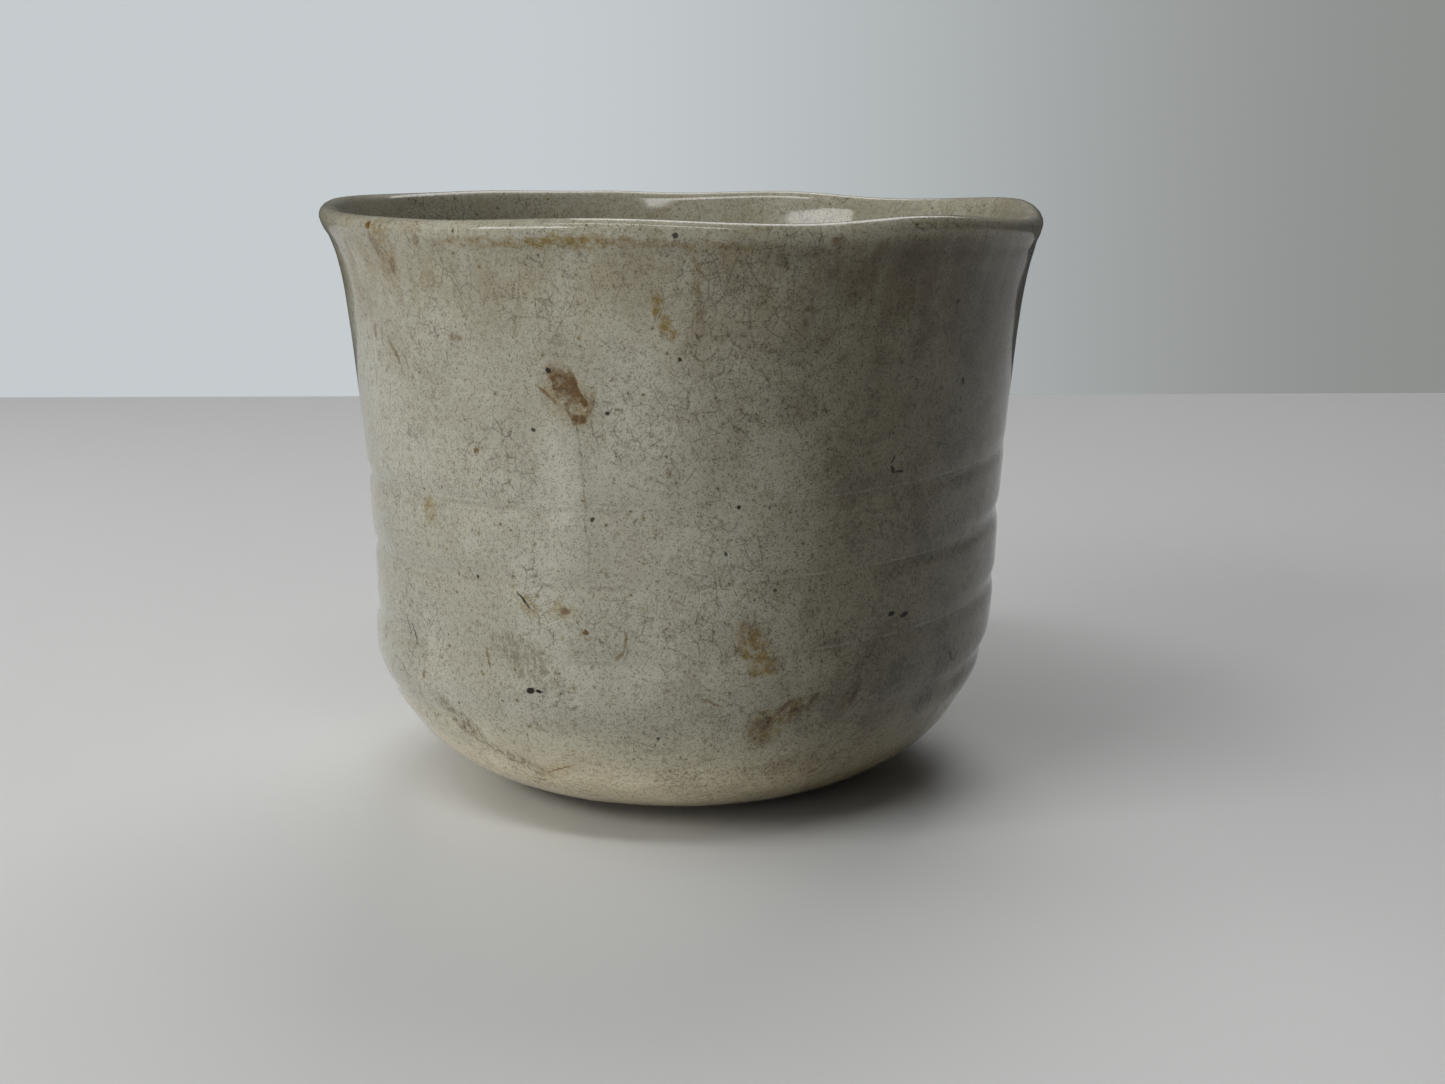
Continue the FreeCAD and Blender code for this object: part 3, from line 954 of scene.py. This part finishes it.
def makeFootRing():
    # a low ring with rounded, slightly worn bottom edges
    shell = Shell()
    outR = bowl["footRadius"]
    inR = outR - bowl["footWall"]
    top = bowl["footHeight"]
    edge = footLook["edge"]
    section = [(inR, top), (inR, top * 0.7), (inR, edge)]
    for k in range(1, 5):
        turn = math.pi / 2 * k / 5
        section.append((inR + edge - edge * math.cos(turn), edge - edge * math.sin(turn)))
    section += [(inR + edge + (bowl["footWall"] - 2 * edge) * k / 6, 0.0) for k in range(7)]
    for k in range(1, 5):
        turn = math.pi / 2 * k / 5
        section.append((outR - edge + edge * math.sin(turn), edge - edge * math.cos(turn)))
    section += [(outR, edge), (outR, top * 0.7), (outR, top)]
    section += [(outR - bowl["footWall"] * k / 4, top) for k in range(1, 4)]

    def wear(point, angle, along):
        turn = math.radians(angle)
        lump = noise.noise(Vector((point[0] * math.sin(turn), point[0] * math.cos(turn), point[1])) / 2.3)
        return -footLook["wear"] * abs(lump) * (1 - ease((point[1] - 0.5) / 0.9))

    along = 0.0
    rings = []
    for k, (r, z) in enumerate(section):
        if k:
            along += math.hypot(r - section[k - 1][0], z - section[k - 1][1])
        sideways = 1.0 if r > outR - edge * 0.9 else (-1.0 if r < inR + edge * 0.9 else 0.0)
        rings.append(shell.ring((r, z, sideways, 0.0, False), along, footLook["columns"], 0.0, wear))
    for low, up in zip(rings, rings[1:] + rings[:1]):
        shell.join(low, up)
    shell.finish("footRing", [firedClay("worn foot", 0.5)], ["foot_ring"])


makeOutsideGlaze()
makeInsideGlaze()
makeClayBody()
makeFootRing()
print("bowl made")

# floor, light and camera, in metres

studio = {
    "floorBack": 0.425,
    "floorReach": 0.8,
    "floorTone": tone(0.74, 0.745, 0.735),
    # the backdrop seen straight on carries painted light: lighter on the left, darker on the right, as on a
    # wall lit from the left
    "backdropLeft": tone(0.56, 0.60, 0.62),
    "backdropRight": tone(0.265, 0.275, 0.265),
    "roomBack": tone(0.04, 0.043, 0.045),
    "roomFront": tone(0.008, 0.008, 0.008),
    # degrees from the front, degrees up, distance, width, depth, watts
    "window": (-53.0, 32.0, 1.3, 0.72, 0.30, 4.4),
    "lowLeft": (-46.0, 6.0, 1.3, 0.7, 0.7, 3.7),
    "nearLeft": (-110.0, 30.0, 0.6, 0.35, 0.35, 0.45),
    "highLeft": (-80.0, 55.0, 0.6, 0.35, 0.35, 0.5),
    "highBack": (168.0, 50.0, 1.3, 0.8, 0.8, 5.0),
    "strip": (-20.0, 64.0, 1.1, 0.9, 0.14, 2.8),
    "mirrored": ("window", "highBack", "strip"),     # the lights that show as reflections
    "aimHeight": 0.04,
    "lens": 50.0,
    "cameraAt": (0.0, -0.3404, 0.116),
    "cameraDown": 12.8,      # degrees below level, and to the right
    "cameraRight": 1.2,
}


def makeFloor():
    floor = bmesh.new()
    reach = studio["floorReach"]
    back = studio["floorBack"]
    bmesh.ops.create_grid(floor, x_segments=6, y_segments=6, size=reach)
    bmesh.ops.translate(floor, verts=floor.verts, vec=(0, back - reach, 0))
    data = bpy.data.meshes.new("floor")
    floor.to_mesh(data)
    floor.free()
    material, start = newMaterial("pale floor")
    place3 = start.node("ShaderNodeTexCoord", {}, {}, "Object").times((1000.0, 1000.0, 1000.0))
    surface(start, **{"Base Color": studio["floorTone"], "Roughness": 0.46 + place3.grain(14.0) * 0.1})
    data.materials.append(material)
    piece = bpy.data.objects.new("floor", data)
    bpy.context.scene.collection.objects.link(piece)


def areaLight(name, target):
    angle, up, reach, width, depth, power = studio[name]
    turn = math.radians(angle)
    rise = math.radians(up)
    way = Vector((math.cos(rise) * math.sin(turn), -math.cos(rise) * math.cos(turn), math.sin(rise)))
    at = way * reach + target
    lamp = bpy.data.lights.new(name, "AREA")
    lamp.shape = "RECTANGLE"
    lamp.size = width
    lamp.size_y = depth
    lamp.energy = power
    holder = bpy.data.objects.new(name, lamp)
    holder.location = at
    holder.rotation_euler = (target - at).to_track_quat("-Z", "Y").to_euler()
    holder.visible_camera = False
    holder.visible_glossy = name in studio["mirrored"]
    bpy.context.scene.collection.objects.link(holder)


def makeLights():
    for name in ("window", "lowLeft", "nearLeft", "highLeft", "highBack", "strip"):
        areaLight(name, Vector((0.0, 0.0, studio["aimHeight"])))


def makeWorld():
    world = bpy.data.worlds.new("studio")
    world.use_nodes = True
    world.node_tree.nodes.clear()
    start = Wire(world.node_tree)
    way = start.node("ShaderNodeTexCoord", {}, {}, "Generated")
    x, y = (start.node("ShaderNodeSeparateXYZ", {}, {0: way}, k) for k in (0, 1))
    # camera rays see the backdrop with its painted light, other rays the dim room
    seen = start.node("ShaderNodeMix", {"data_type": "RGBA"},
                      {0: x.between(-0.1, 0.37), 6: studio["backdropLeft"], 7: studio["backdropRight"]}, 2)
    room = start.node("ShaderNodeMix", {"data_type": "RGBA"},
                      {0: y.between(-0.1, 0.5), 6: studio["roomFront"], 7: studio["roomBack"]}, 2)
    camera = start.node("ShaderNodeLightPath", {}, {}, "Is Camera Ray")
    both = start.node("ShaderNodeMix", {"data_type": "RGBA"}, {0: camera, 6: room, 7: seen}, 2)
    shader = start.node("ShaderNodeBackground", {}, {"Color": both, "Strength": 1.0})
    start.node("ShaderNodeOutputWorld", {}, {"Surface": shader})
    bpy.context.scene.world = world


def makeCamera():
    data = bpy.data.cameras.new("camera")
    data.lens = studio["lens"]
    data.sensor_width = 36.0
    camera = bpy.data.objects.new("camera", data)
    camera.location = studio["cameraAt"]
    down = math.radians(90 - studio["cameraDown"])
    camera.rotation_euler = (down, 0.0, math.radians(-studio["cameraRight"]))
    bpy.context.scene.collection.objects.link(camera)
    bpy.context.scene.camera = camera


makeFloor()
makeLights()
makeWorld()
makeCamera()
bpy.context.scene.view_settings.view_transform = "Standard"
print("studio made")
